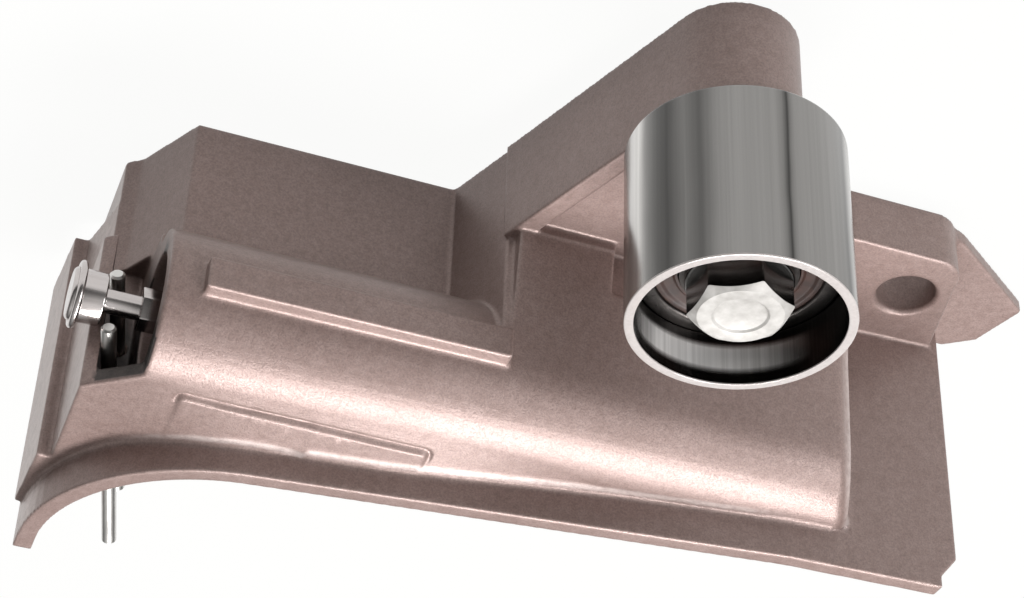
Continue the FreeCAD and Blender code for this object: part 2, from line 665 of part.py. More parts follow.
def make_damper():
    turned_on_barrel("damper_sleeve", [
        ("sleeve_left", "sleeve_bore"),
        (SLEEVE_BED, "sleeve_bore"),
        (SLEEVE_BED, "valve_bore + valve_seat"),
        ("%s + valve_seat" % SLEEVE_BED, "valve_bore"),
        ("sleeve_right", "valve_bore"),
        ("sleeve_right", "sleeve_radius"),
        ("sleeve_left", "sleeve_radius"),
    ])
    ball_x = "(%s + valve_seat + valve_bore - check_ball_radius * sqrt(2))" % SLEEVE_BED
    check_ball = doc.addObject("Part::Sphere", "valve_ball")
    bind(check_ball, "Radius", "check_ball_radius")
    bind(check_ball, "Placement.Base.x", ball_x)
    part(on_barrel_axis(check_ball), "check_ball")
    cup_inside = "(ball_cup_radius - ball_cup_wall)"
    cup_left = "(%s - ball_cup_length)" % SLEEVE_BED
    turned_on_barrel("check_ball_cup", [
        (SLEEVE_BED, cup_inside),
        (SLEEVE_BED, "ball_cup_flange"),
        ("%s - ball_cup_wall" % SLEEVE_BED, "ball_cup_flange"),
        ("%s - ball_cup_wall" % SLEEVE_BED, "ball_cup_radius"),
        (cup_left, "ball_cup_radius"),
        (cup_left, "ball_cup_vent"),
        ("%s + ball_cup_wall" % cup_left, "ball_cup_vent"),
        ("%s + ball_cup_wall" % cup_left, cup_inside),
    ])
    ball_back = "%s - sqrt(check_ball_radius ^ 2 - ball_spring_radius ^ 2)" % ball_x
    spring("check_ball_spring", "ball_spring_radius", "ball_spring_wire", "ball_spring_turns",
           "%s + ball_cup_wall" % cup_left, "%s - ball_spring_wire / 4" % ball_back)
    plunger_right = "(plunger_left + plunger_length)"
    spring("pressure_spring", "spring_radius", "spring_wire", "spring_turns",
           "%s - plunger_hollow_depth + spring_seat" % plunger_right,
           "%s - ball_cup_wall - spring_seat" % SLEEVE_BED)
    turned_on_barrel("plunger", [
        ("plunger_left", "rod_radius"),
        ("plunger_left + rod_socket", "rod_radius"),
        ("plunger_left + rod_socket", "0"),
        ("%s - plunger_hollow_depth" % plunger_right, "0"),
        ("%s - plunger_hollow_depth" % plunger_right, "plunger_hollow"),
        (plunger_right, "plunger_hollow"),
        (plunger_right, "plunger_radius"),
        ("plunger_left", "plunger_radius"),
    ])

    seal_right = "(sleeve_left - guide_length)"
    seal_left = "(%s - seal_length)" % seal_right
    turned_on_barrel("rod_guide", barrel_section(
        "rod_radius + guide_gap", "sleeve_radius", seal_right, "sleeve_left"))
    turned_on_barrel("rod_seal", barrel_section(
        "rod_radius + seal_lip_gap", "sleeve_radius", seal_left, seal_right))
    turned_on_barrel("seal_backing_ring", barrel_section(
        "rod_radius + backing_gap", "sleeve_radius", CLIP_RIGHT, seal_left))
    clip_outer = "bore_radius + clip_groove - clip_slack"
    clip = turned_on_barrel("retaining_ring", barrel_section(
        "%s - clip_width" % clip_outer, clip_outer, "%s - clip_thickness" % CLIP_RIGHT, CLIP_RIGHT))
    bind(clip.Tip, "Angle", "360 - clip_opening")

    head_right = "(rod_left + rod_head_length)"
    hex_left = "(%s + rod_neck_length)" % head_right
    hex_right = "(%s + rod_hex_length)" % hex_left
    rod = turned_on_barrel("push_rod", [
        ("rod_left", "0"),
        ("plunger_left + rod_socket", "0"),
        ("plunger_left + rod_socket", "rod_radius"),
        (hex_right, "rod_radius"),
        (hex_right, "rod_neck_radius"),
        (head_right, "rod_neck_radius"),
        (head_right, "rod_head_radius - rod_chamfer"),
        ("%s - rod_chamfer" % head_right, "rod_head_radius"),
        ("rod_left + rod_chamfer", "rod_head_radius"),
        ("rod_left", "rod_head_radius - rod_chamfer"),
    ])
    hex_sketch = new_sketch(rod, "YZ_Plane", hex_left)
    draw_outline(hex_sketch, hexagon("rod_hex_flats"))
    pad(rod, hex_sketch, "rod_hex_length")

    ring = new_body("rod_wire_ring")
    section = new_sketch(ring, "XY_Plane")
    draw_circle(section, "rod_left + wire_ring_place", "rod_head_radius + wire_ring_radius", "wire_ring_radius")
    turning = ring.newObject("PartDesign::Revolution", "rod_wire_ring_turning")
    turning.Profile = section
    turning.ReferenceAxis = (section, ["H_Axis"])
    turning.Angle = 360
    on_barrel_axis(part(ring, "rod_wire_ring"))

    for side, name in (("+", "front_transport_pin"), ("-", "rear_transport_pin")):
        pin = turned(name, [
            ("0", "0"),
            ("pin_radius - pin_chamfer", "0"),
            ("pin_radius", "pin_chamfer"),
            ("pin_radius", "pin_length - pin_chamfer"),
            ("pin_radius - pin_chamfer", "pin_length"),
            ("0", "pin_length"),
        ])
        aim_along_pin(pin, side)


def check(thing):
    if "Invalid" in thing.State or "Error" in thing.State:
        raise RuntimeError("%s could not be built: %s" % (thing.Name, thing.State))


def main():
    make_housing()
    make_roller()
    make_damper()
    doc.recompute()
    for thing in doc.Objects:
        check(thing)
    os.makedirs("parts", exist_ok=True)
    for thing in PARTS:
        if thing.Shape.isNull() or not thing.Shape.isValid():
            raise RuntimeError("%s has no valid shape" % thing.Label)
        thing.Shape.exportStep("parts/%s.step" % thing.Label)
        print(thing.Label, round(thing.Shape.Volume), len(thing.Shape.Solids))


main()
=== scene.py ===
"""Looks of the belt tensioner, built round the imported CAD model. Metres, in the CAD's frame."""
import json
import math

import bmesh
import bpy
import numpy
from mathutils import Matrix, Vector


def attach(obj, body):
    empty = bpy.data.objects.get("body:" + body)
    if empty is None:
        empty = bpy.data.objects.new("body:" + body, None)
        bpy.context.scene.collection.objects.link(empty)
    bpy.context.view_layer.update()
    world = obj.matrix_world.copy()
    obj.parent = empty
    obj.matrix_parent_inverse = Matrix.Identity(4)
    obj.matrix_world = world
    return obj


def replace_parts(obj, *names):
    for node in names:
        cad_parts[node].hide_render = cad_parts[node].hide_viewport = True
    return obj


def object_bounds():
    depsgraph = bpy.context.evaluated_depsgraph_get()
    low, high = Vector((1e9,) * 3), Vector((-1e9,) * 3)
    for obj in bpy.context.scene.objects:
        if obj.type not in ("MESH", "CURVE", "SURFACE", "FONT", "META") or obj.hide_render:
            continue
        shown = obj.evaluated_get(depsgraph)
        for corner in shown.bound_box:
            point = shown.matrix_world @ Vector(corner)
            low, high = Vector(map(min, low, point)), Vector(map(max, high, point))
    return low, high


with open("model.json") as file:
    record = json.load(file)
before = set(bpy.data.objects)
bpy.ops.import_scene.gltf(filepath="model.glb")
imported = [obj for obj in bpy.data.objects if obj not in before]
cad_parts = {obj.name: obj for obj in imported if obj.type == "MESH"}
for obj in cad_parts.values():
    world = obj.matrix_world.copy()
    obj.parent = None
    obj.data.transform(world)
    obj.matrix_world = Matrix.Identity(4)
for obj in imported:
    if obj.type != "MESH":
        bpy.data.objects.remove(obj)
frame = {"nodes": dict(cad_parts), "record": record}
CAD_BOX = [list(corner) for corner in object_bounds()]

# One millimetre. Every length below is in mm, in the CAD's frame, unless it says otherwise
MM = 0.001

# The damper barrel's axis and radius
BARREL_Y, BARREL_Z, BARREL_RADIUS = -59.8, 46.4, 15.8

# Roller: radius, wall, rear and front, and the bearing's two faces
ROLLER_R, WALL, REAR, FRONT = 20.0, 1.7, 26.4, 63.4
BEARING_REAR, BEARING_FRONT = 28.4, 53.0

# Casting: the heights of its front and of the ear
FRONT_FLAT, EAR_FRONT = 62.2, 12.4

# The belt guard's upper wall: its kink, its slopes in degrees, and its bend from BEND_START to the left
GUARD_KINK, GUARD_SLOPE, GUARD_END_SLOPE = (37.0, -57.9), 6.8, 1.9
BEND_CENTRE, BEND_RADIUS, BEND_START = (-62.4, -110.64), 40.6, -57.6

# The block's leaning right end: its foot, and in degrees its lean and where it leaves the barrel
BLOCK_FOOT = (49.7, GUARD_KINK[1] + 0.4)
BLOCK_LEAN, BLOCK_TANGENT = 20.3, 80.2

# Cup round the damper's sleeve: X and radius, from its floor inside to its end outside
SLEEVE_CUP = [(5.4, 11.4), (-36, 11.4), (-36, 13.7), (7.2, 13.7), (8.2, 12.7)]

# How high the front rises at the guard's foot, by X
FOOT_HEIGHTS = [
    (-98.2, 62.25), (-92, 62.4), (-84, 63.5), (-74, 64.6), (-43, 64.75), (-32, 64.4), (-20, 63.7),
    (-8, 63.0), (3, 62.5), (19, 62.2), (50, 62.2)]

# Bare panel on the barrel's front, outlined by a fine groove: its limits, and how far each moves the skin
PANEL_LEFT, PANEL_RIGHT, PANEL_TOP, PANEL_CORNER = -83.8, -35.2, -60.5, 1.5
PANEL_LIFT, GROOVE_DEPTH, GROOVE_WIDTH = 0.55, 0.55, 0.42

# Y over which the groove's left end fades out, and how far above the guard its right end does
FADE_LEFT, FADE_RIGHT = (-63.4, -61.6), (1.5, 5.5)

# Left of this X, faces turned towards -X on the damper's end and the guard's tip are painted bright, as
# painted light falling from the left
LEFT_LIT_X = -97.0

# Roller bolt's head: width across flats, underside, top, the radius of its flat top, its chamfer's
# start below the top and its chamfer's slope
HEAD_FLATS, HEAD_LOW, HEAD_TOP, HEAD_TOP_R, HEAD_EDGE, HEAD_CHAMFER = 16.2, 55.0, 61.7, 7.5, 0.25, 0.56

# The dish in its top and the shank under it: radius and height, from the outside in and from the tip up
HEAD_DISH = [(5.3, HEAD_TOP), (5.0, HEAD_TOP - 0.08), (4.6, HEAD_TOP - 0.42), (4.3, HEAD_TOP - 0.5),
             (0, HEAD_TOP - 0.45)]
SHANK = [(0, 5.4), (4.25, 5.4), (4.25, 23.4), (5.0, 23.4), (5.0, HEAD_LOW)]

# Damper's rod: X of its head's two faces and of its hexagon's two ends, and the hexagon's reach
ROD_LEFT, ROD_HEAD_RIGHT, HEX_LEFT, HEX_RIGHT = -106.2, -99.8, -93.2, -89.0
HEX_REACH = 3.6 / math.cos(math.pi / 6)

# Inside of the window at the damper's end, where the skin is painted near black as shade: X, Y and Z
# limits. Then its upper edge's Y, and the
# X at which the barrel's wall starts
WINDOW = ((-98.6, -90.7), (-76.2, -50.0), (36.0, 61.5))
WINDOW_EDGE_Y, BARREL_START = -65.8, -90.6

# Brightness of the surroundings round the vertical axis, by share of a turn, and by height
WORLD_BANDS = [
    (0.00, 0.45), (0.10, 0.60), (0.30, 0.35), (0.50, 0.45), (0.56, 0.60), (0.60, 0.24), (0.63, 0.30),
    (0.69, 0.70), (0.735, 0.62), (0.75, 0.08), (0.765, 0.40), (0.82, 0.36), (0.90, 0.36), (1.00, 0.45)]
WORLD_SKY = [(0.0, 0.30), (0.25, 0.16), (0.55, 0.55), (1.0, 1.25)]
WORLD_STRENGTH = 1.3

# Grey of the roller's painted reflections, darker and lighter streaks along it, by the angle round it in
# degrees
ROLLER_REFLECTIONS = [
    (0, 0.45), (20, 0.66), (34, 0.62), (43, 0.34), (48, 0.13), (52, 0.26), (62, 0.34), (85, 0.33),
    (88, 0.26), (90, 0.07), (93, 0.26), (97, 0.34), (118, 0.34), (126, 0.28), (134, 0.13), (142, 0.22),
    (152, 0.09), (160, 0.14), (167, 0.30), (173, 0.80), (188, 0.72), (200, 0.40), (222, 0.14), (236, 0.36),
    (262, 0.40), (271, 0.12), (278, 0.34), (300, 0.42), (322, 0.20), (340, 0.38), (360, 0.45)]


def set_stops(ramp, stops):
    """Sets a colour ramp. Each stop is a position and a colour, and a grey has a single number."""
    elements = ramp.color_ramp.elements
    while len(elements) < len(stops):
        elements.new(0.5)
    for element, (position, colour) in zip(elements, stops):
        element.position = position
        element.color = (*colour, 1) if len(colour) == 3 else (*colour, *colour, *colour, 1)


class Nodes:
    """Short way to build one node material."""

    def __init__(self, name):
        self.material = bpy.data.materials.new(name)
        self.material.use_nodes = True
        self.tree = self.material.node_tree
        self.shader = self.tree.nodes["Principled BSDF"]
        self.place = self.add("ShaderNodeTexCoord").outputs["Object"]

    def add(self, kind, **settings):
        node = self.tree.nodes.new(kind)
        for key, value in settings.items():
            setattr(node, key, value)
        return node

    def link(self, source, target):
        self.tree.links.new(source, target)

    def stretched(self, scale):
        mapping = self.add("ShaderNodeMapping")
        mapping.inputs["Scale"].default_value = scale
        self.link(self.place, mapping.inputs["Vector"])
        return mapping.outputs["Vector"]

    def noise(self, scale, detail=3.0, roughness=0.5, place=None):
        noise = self.add("ShaderNodeTexNoise")
        noise.inputs["Scale"].default_value = scale
        noise.inputs["Detail"].default_value = detail
        noise.inputs["Roughness"].default_value = roughness
        self.link(place or self.place, noise.inputs["Vector"])
        return noise.outputs["Fac"]

    def split_place(self):
        """The object's X, Y and Z, each by itself."""
        split = self.add("ShaderNodeSeparateXYZ")
        self.link(self.place, split.inputs["Vector"])
        return split.outputs

    def ramp(self, value, stops):
        ramp = self.add("ShaderNodeValToRGB")
        set_stops(ramp, stops)
        self.link(value, ramp.inputs["Fac"])
        return ramp.outputs["Color"]

    def mix(self, fac, low, high):
        """Goes from the low colour to the high one as fac goes from 0 to 1."""
        mix = self.add("ShaderNodeMix", data_type="RGBA")
        self.link(fac, mix.inputs["Factor"])
        self.link(low, mix.inputs["A"])
        self.link(high, mix.inputs["B"])
        return mix.outputs["Result"]

    def math(self, operation, first, second=0.0):
        node = self.add("ShaderNodeMath", operation=operation)
        for socket, value in zip(node.inputs, (first, second)):
            if isinstance(value, (int, float)):
                socket.default_value = value
            else:
                self.link(value, socket)
        return node.outputs["Value"]

    def distance(self, first, second):
        """Length of a plane vector by its two parts."""
        squares = [self.math("MULTIPLY", value, value) for value in (first, second)]
        return self.math("SQRT", self.math("ADD", *squares))

    def fit(self, value, low, high):
        """Stretches a value of 0 to 1 over another range."""
        node = self.add("ShaderNodeMapRange")
        node.inputs["To Min"].default_value = low
        node.inputs["To Max"].default_value = high
        self.link(value, node.inputs["Value"])
        return node.outputs["Result"]

    def multiply(self, first, second):
        node = self.add("ShaderNodeMix", data_type="RGBA", blend_type="MULTIPLY")
        node.inputs["Factor"].default_value = 1.0
        self.link(first, node.inputs["A"])
        self.link(second, node.inputs["B"])
        return node.outputs["Result"]

    def bump(self, height, depth, below=None, strength=1.0):
        bump = self.add("ShaderNodeBump")
        bump.inputs["Strength"].default_value = strength
        bump.inputs["Distance"].default_value = depth
        self.link(height, bump.inputs["Height"])
        if below is not None:
            self.link(below, bump.inputs["Normal"])
        return bump.outputs["Normal"]

    def set(self, **values):
        """Sets or links the shader's sockets by name, and gives the material."""
        for name, value in values.items():
            socket = self.shader.inputs[name.replace("_", " ")]
            if isinstance(value, (int, float, tuple)):
                socket.default_value = value
            else:
                self.link(value, socket)
        return self.material


def cast_aluminium():
    """Die-cast skin: brownish grey and grained, rubbed bright along its edges, with painted highlights at
    the guard's foot and the block's end, painted light on faces turned left at the damper's end, and
    painted shade inside the window.
    """
    m = Nodes("cast_aluminium")
    clouds = m.noise(40, 4, 0.6)
    mottle = m.noise(620, 5, 0.75)
    grain = m.noise(2600, 3, 0.7)
    tint = m.ramp(clouds, [(0.30, (0.293, 0.213, 0.194)), (0.70, (0.334, 0.248, 0.228))])
    dark = m.ramp(clouds, [(0.30, (0.242, 0.169, 0.152)), (0.70, (0.280, 0.201, 0.183))])
    skin_colour = m.mix(m.ramp(mottle, [(0.36, (0,)), (0.64, (1,))]), dark, tint)
    skin_colour = m.multiply(skin_colour, m.ramp(grain, [(0.36, (0.76,)), (0.60, (1.0,))]))
    # This mask brightens rubbed edges, and also paints highlights and light from the left onto the skin
    wear_and_sheen = m.add("ShaderNodeAttribute", attribute_name="wear_and_sheen").outputs["Fac"]
    worn_and_lit = m.math("MULTIPLY", wear_and_sheen, m.ramp(mottle, [(0.3, (0.45,)), (0.6, (1,))]))
    bright = m.ramp(clouds, [(0.3, (0.54, 0.455, 0.435)), (0.7, (0.62, 0.535, 0.515))])
    colour = m.mix(worn_and_lit, skin_colour, bright)
    # Painted shade: inside the damper's window the skin is painted near black, as the recess lies in shade
    window_shade = m.add("ShaderNodeAttribute", attribute_name="window_shade").outputs["Fac"]
    painted_shade = m.ramp(mottle, [(0.35, (0.030, 0.024, 0.022)), (0.65, (0.070, 0.056, 0.052))])
    colour = m.mix(window_shade, colour, painted_shade)
    pits = m.ramp(grain, [(0.30, (0.0,)), (0.55, (1.0,))])
    normal = m.bump(mottle, 0.05 * MM, strength=0.5)
    normal = m.bump(pits, 0.03 * MM, normal, 0.6)
    return m.set(Base_Color=colour, Metallic=0.32, Roughness=m.fit(mottle, 0.31, 0.43), Normal=normal)


def steel(name, low, high, rough, streak=(900, 900, 30), depth=0.004):
    """Ground or polished steel whose fine lines run along one axis."""
    m = Nodes(name)
    lines = m.noise(1, 4, 0.6, m.stretched(streak))
    smear = m.noise(120, 4, 0.6)
    lined = m.ramp(lines, [(0.35, low), (0.65, high)])
    colour = m.mix(smear, lined, m.ramp(lines, [(0.3, high), (0.7, high)]))
    return m.set(Base_Color=colour, Metallic=1.0, Roughness=m.fit(lines, rough, rough + 0.10),
                 Normal=m.bump(lines, depth * MM, strength=0.4))


def roller_steel():
    """The roller's polished sleeve: soft darker painted reflections along it, a bright cut rim, and a bore
    painted dark as shade with a painted highlight band on its -Y side.
    """
    m = Nodes("roller_steel")
    across, along, height = m.split_place()
    angle = m.math("ARCTAN2", along, across)
    wobble = m.noise(1, 3, 0.5, m.stretched((90, 90, 22)))
    angle = m.math("ADD", angle, m.fit(wobble, -0.07, 0.07))
    turn = m.math("FRACT", m.math("ADD", m.math("DIVIDE", angle, 2 * math.pi), 1.0))
    reflections = m.ramp(turn, [(degrees / 360, (level * 0.88, level * 0.855, level * 0.83))
                          for degrees, level in ROLLER_REFLECTIONS])
    fine = m.noise(1, 4, 0.6, m.stretched((1500, 1500, 8)))
    reflections = m.multiply(reflections, m.ramp(fine, [(0.3, (0.86,)), (0.7, (1.0,))]))
    radius = m.distance(across, along)
    bore = m.math("LESS_THAN", radius, (ROLLER_R - 0.9 * WALL) * MM)
    rim = m.math("GREATER_THAN", height, (FRONT - 0.3) * MM)
    depth = m.math("DIVIDE", m.math("SUBTRACT", height, BEARING_FRONT * MM), (FRONT - BEARING_FRONT) * MM)
    # Painted highlight: a pale band part way down the bore, on its -Y side
    lit_band = m.multiply(m.ramp(depth, [(0.16, (0,)), (0.28, (1,)), (0.66, (1,)), (0.80, (0,))]),
                         m.ramp(turn, [(0.58, (0,)), (0.68, (1,)), (0.86, (1,)), (0.94, (0,))]))
    # Painted shade: the rest of the bore is near-black steel
    bore_shade_and_band = m.mix(lit_band, m.ramp(fine, [(0.3, (0.03, 0.028, 0.027)), (0.7, (0.075, 0.072, 0.07))]),
                   m.ramp(fine, [(0.3, (0.60, 0.59, 0.58)), (0.7, (0.92, 0.91, 0.90))]))
    pale = m.math("MAXIMUM", rim, m.math("MULTIPLY", bore, lit_band))
    cut = m.ramp(fine, [(0.3, (0.43, 0.40, 0.39)), (0.7, (0.49, 0.455, 0.445))])
    colour = m.mix(rim, m.mix(bore, reflections, bore_shade_and_band), cut)
    return m.set(Base_Color=colour, Metallic=m.fit(pale, 1.0, 0.2), Roughness=m.fit(fine, 0.15, 0.25),
                 Normal=m.bump(fine, 0.003 * MM, strength=0.4))


def zinc():
    """Zinc plate: matt and pale on the bolt head's top and chamfer; polished on its sides and washer, and
    darkened there as painted shade in the roller's recess.
    """
    m = Nodes("zinc_plated")
    across, along, height = m.split_place()
    radius = m.distance(across, along)
    slope = m.math("ADD", height, m.math("MULTIPLY", radius, HEAD_CHAMFER))
    edge = (HEAD_TOP - HEAD_EDGE + HEAD_CHAMFER * HEAD_TOP_R - 0.06) * MM
    cap = m.math("GREATER_THAN", slope, edge)
    dish = m.math("MULTIPLY", m.math("LESS_THAN", radius, HEAD_TOP_R * MM),
                  m.math("GREATER_THAN", height, (HEAD_TOP - 1.0) * MM))
    cap = m.math("MAXIMUM", cap, dish)
    cloud = m.noise(420, 4, 0.6)
    fine = m.noise(2600, 2, 0.6)
    pale = m.ramp(cloud, [(0.3, (0.33, 0.32, 0.305)), (0.7, (0.46, 0.45, 0.435))])
    # Polished zinc, darkened as painted shade where it sits down in the recess
    polished_and_shaded = m.ramp(cloud, [(0.3, (0.16, 0.155, 0.15)), (0.7, (0.24, 0.235, 0.23))])
    colour = m.mix(cap, polished_and_shaded, pale)
    return m.set(Base_Color=colour, Metallic=m.fit(cap, 1.0, 0.25), Roughness=m.fit(cap, 0.18, 0.50),
                 Normal=m.bump(fine, 0.02 * MM, strength=0.5))


def soft(name, low, high, rough):
    """Rubber or plastic with a soft cloudiness and a fine grain."""
    m = Nodes(name)
    cloud = m.noise(380, 4, 0.6)
    fine = m.noise(2400, 2, 0.6)
    return m.set(Base_Color=m.ramp(cloud, [(0.35, low), (0.65, high)]), Roughness=rough,
                 Normal=m.bump(fine, 0.02 * MM, strength=0.5))


MATERIALS = {
    "cast_aluminium": cast_aluminium(),
    "polished_steel": roller_steel(),
    # The bearing steel's colours are darkened as painted shade deep in the roller's recess
    "bearing_steel": steel("bearing_steel", (0.055, 0.050, 0.048), (0.105, 0.097, 0.093), 0.24),
    "spacer_steel": steel("spacer_steel", (0.38, 0.37, 0.36), (0.50, 0.49, 0.48), 0.30),
    "spring_steel": steel("spring_steel", (0.22, 0.22, 0.23), (0.34, 0.33, 0.33), 0.32),
    "zinc_steel": zinc(),
    "rod_chrome": steel("rod_chrome", (0.42, 0.385, 0.375), (0.58, 0.54, 0.53), 0.16, (30, 900, 900)),
    "pin_steel": steel("pin_steel", (0.54, 0.53, 0.51), (0.70, 0.69, 0.67), 0.26, (700, 80, 700)),
    "seal_rubber": soft("seal_rubber", (0.022, 0.012, 0.010), (0.045, 0.022, 0.017), 0.42),
    "cage_plastic": soft("cage_plastic", (0.20, 0.13, 0.08), (0.28, 0.19, 0.12), 0.5),
}


def new_object(name, mesh, slot, body, smooth_angle=35):
    """Adds a piece with its finish, riding on its body, with edges sharper than the angle kept crisp."""
    obj = bpy.data.objects.new(name, mesh)
    bpy.context.scene.collection.objects.link(obj)
    mesh.materials.clear()
    mesh.materials.append(MATERIALS[slot])
    mesh.polygons.foreach_set("use_smooth", [True] * len(mesh.polygons))
    if smooth_angle:
        mesh.set_sharp_from_angle(angle=math.radians(smooth_angle))
    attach(obj, body)
    return obj


def apply_modifiers(obj):
    """Makes what the modifiers show the object's own mesh."""
    bpy.context.view_layer.update()
    evaluated = obj.evaluated_get(bpy.context.evaluated_depsgraph_get())
    mesh = bpy.data.meshes.new_from_object(evaluated)
    obj.modifiers.clear()
    old = obj.data
    obj.data = mesh
    bpy.data.meshes.remove(old)


def round_corners(points, radius, steps=4):
    """Rounds a closed half section's corners. A point is (radius, height) or those and its rounding."""
    rounded = []
    count = len(points)
    for index, point in enumerate(points):
        here = Vector(point[:2])
        size = point[2] if len(point) > 2 else radius
        before = Vector(points[index - 1][:2]) - here
        after = Vector(points[(index + 1) % count][:2]) - here
        size = min(size, before.length * 0.45, after.length * 0.45)
        if size <= 0:
            rounded.append(here)
            continue
        start = here + before.normalized() * size
        stop = here + after.normalized() * size
        for step in range(steps + 1):
            t = step / steps
            rounded.append(start * (1 - t) ** 2 + here * 2 * t * (1 - t) + stop * t ** 2)
    return rounded


def make_ring(work, turns, radius, height):
    """A ring of vertices round Z. On the axis it is one vertex, repeated."""
    if radius < 1e-6:
        return [work.verts.new((0, 0, height * MM))] * len(turns)
    return [work.verts.new((radius * MM * math.cos(turn), radius * MM * math.sin(turn), height * MM))
            for turn in turns]


def join_rings(work, rings, closed=False):
    """Fills between neighbouring rings, with triangles where a ring is one point."""
    for low, high in zip(rings, rings[1:] + rings[:1] if closed else rings[1:]):
        for k in range(len(low)):
            after = (k + 1) % len(low)
            corners = list(dict.fromkeys((low[k], low[after], high[after], high[k])))
            if len(corners) > 2:
                work.faces.new(corners)


def close_sections(work, sections):
    """Joins open sections into one closed body."""
    join_rings(work, sections)
    work.faces.new(sections[0])
    work.faces.new(sections[-1])


def make_mesh(work, name):
    """Turns the faces outwards and writes them to a new mesh."""
    bmesh.ops.recalc_face_normals(work, faces=work.faces)
    mesh = bpy.data.meshes.new(name)
    work.to_mesh(mesh)
    work.free()
    return mesh


def lathe(name, section, slot, body, replaced, radius=0.3, segments=128, place=None, closed=True):
    """Turns a half section of (radius, height) points about Z and moves it to its place.

    A section that starts and ends on the axis isn't closed. The piece stands for the replaced node.
    """
    turns = [2 * math.pi * k / segments for k in range(segments)]
    work = bmesh.new()
    rings = [make_ring(work, turns, point.x, point.y) for point in round_corners(section, radius)]
    join_rings(work, rings, closed)
    if place is not None:
        bmesh.ops.transform(work, matrix=place, verts=work.verts)
    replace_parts(new_object(name, make_mesh(work, name), slot, body), replaced)


def along_barrel():
    """Turns the Z axis onto the barrel's axis, so a height is an X of the CAD."""
    return Matrix.Translation((0, BARREL_Y * MM, BARREL_Z * MM)) @ Matrix.Rotation(math.pi / 2, 4, "Y")


def corner_fill(work, path, size, sunk=0.4, steps=8):
    """Adds a hollow fillet to an inside corner. A path point is a place and the two walls' normals."""
    sections = []
    for place, first, second in path:
        place, first, second = Vector(place), Vector(first).normalized(), Vector(second).normalized()
        centre = place + (first + second) * size / (1 + first.dot(second))
        ring = [place - (first + second) * sunk]
        for step in range(steps + 1):
            turn = first.lerp(second, step / steps).normalized()
            ring.append(centre - turn * size)
        ring[1] -= first * sunk * 0.5
        ring[-1] -= second * sunk * 0.5
        sections.append([work.verts.new(point * MM) for point in ring])
    close_sections(work, sections)


def foot_y(x):
    """Y of the belt guard's upper wall."""
    if x > GUARD_KINK[0]:
        return GUARD_KINK[1] + (x - GUARD_KINK[0]) * math.tan(math.radians(GUARD_END_SLOPE))
    if x > BEND_START:
        return GUARD_KINK[1] - (GUARD_KINK[0] - x) * math.tan(math.radians(GUARD_SLOPE))
    return BEND_CENTRE[1] + math.sqrt(BEND_RADIUS ** 2 - (x - BEND_CENTRE[0]) ** 2)


def front_slope(work, toe=1.1, rise=0.9, trough=3.2, dip=0.24, steps=6):
    """Adds the casting's front: from its tangent on the barrel, hollowed into the guard's wall.

    The fillet at its foot reaches toe along the front and rise up the wall. Before it the front is
    hollowed by dip, fading out at trough. The body is sunk into the casting below and behind.
    """
    sections_across, sunk_wall, sunk_front = 76, 0.5, 2
    axis = Vector((BARREL_Y, BARREL_Z))
    places, heights = numpy.array(FOOT_HEIGHTS).T
    sections = []
    for x in numpy.linspace(places[0], BLOCK_FOOT[0] - 1, sections_across):
        foot = Vector((foot_y(x), numpy.interp(x, places, heights)))
        reach = foot - axis
        turn = math.acos(min(BARREL_RADIUS / reach.length, 1)) - math.atan2(-reach.x, reach.y)
        touch = axis + Vector((math.sin(turn), math.cos(turn))) * BARREL_RADIUS
        if (touch - foot).length < trough * 1.2:
            side = foot.x + trough * 1.2 - axis.x
            touch = axis + Vector((side, math.sqrt(BARREL_RADIUS ** 2 - side ** 2) - 0.05))
        if x < BARREL_START:
            touch = foot + (touch - foot) * (WINDOW_EDGE_Y - foot.x) / (touch.x - foot.x)
        along = (touch - foot).normalized()
        start = foot + along * toe
        stop = foot + Vector((0, rise))
        ring = [touch]
        for share in (0.2, 0.4, 0.6, 0.8):
            ring.append(foot + along * (trough + (toe - trough) * share) - Vector((0, dip * (1 - share))))
        for step in range(steps + 1):
            t = step / steps
            ring.append(start * (1 - t) ** 2 + foot * 2 * t * (1 - t) + stop * t ** 2)
        ring.append(stop - Vector((sunk_wall, 0)))
        ring.append(Vector((foot.x - sunk_wall, FRONT_FLAT - sunk_front)))
        ring.append(Vector((touch.x, FRONT_FLAT - sunk_front)))
        sections.append([work.verts.new((x * MM, point.x * MM, point.y * MM)) for point in ring])
    close_sections(work, sections)


def sleeve_cover(work, segments=96):
    """Adds the cast cup that closes in the damper's sleeve under the guard."""
    sections = []
    for x, radius in SLEEVE_CUP:
        turns = [2 * math.pi * k / segments for k in range(segments)]
        sections.append([work.verts.new((x * MM, (BARREL_Y + radius * math.cos(turn)) * MM,
                                         (BARREL_Z + radius * math.sin(turn)) * MM)) for turn in turns])
    close_sections(work, sections)


def ramp_up(values, start, stop):
    """0 up to start, 1 from stop on, and straight between them."""
    return numpy.clip((values - start) / (stop - start), 0, 1)


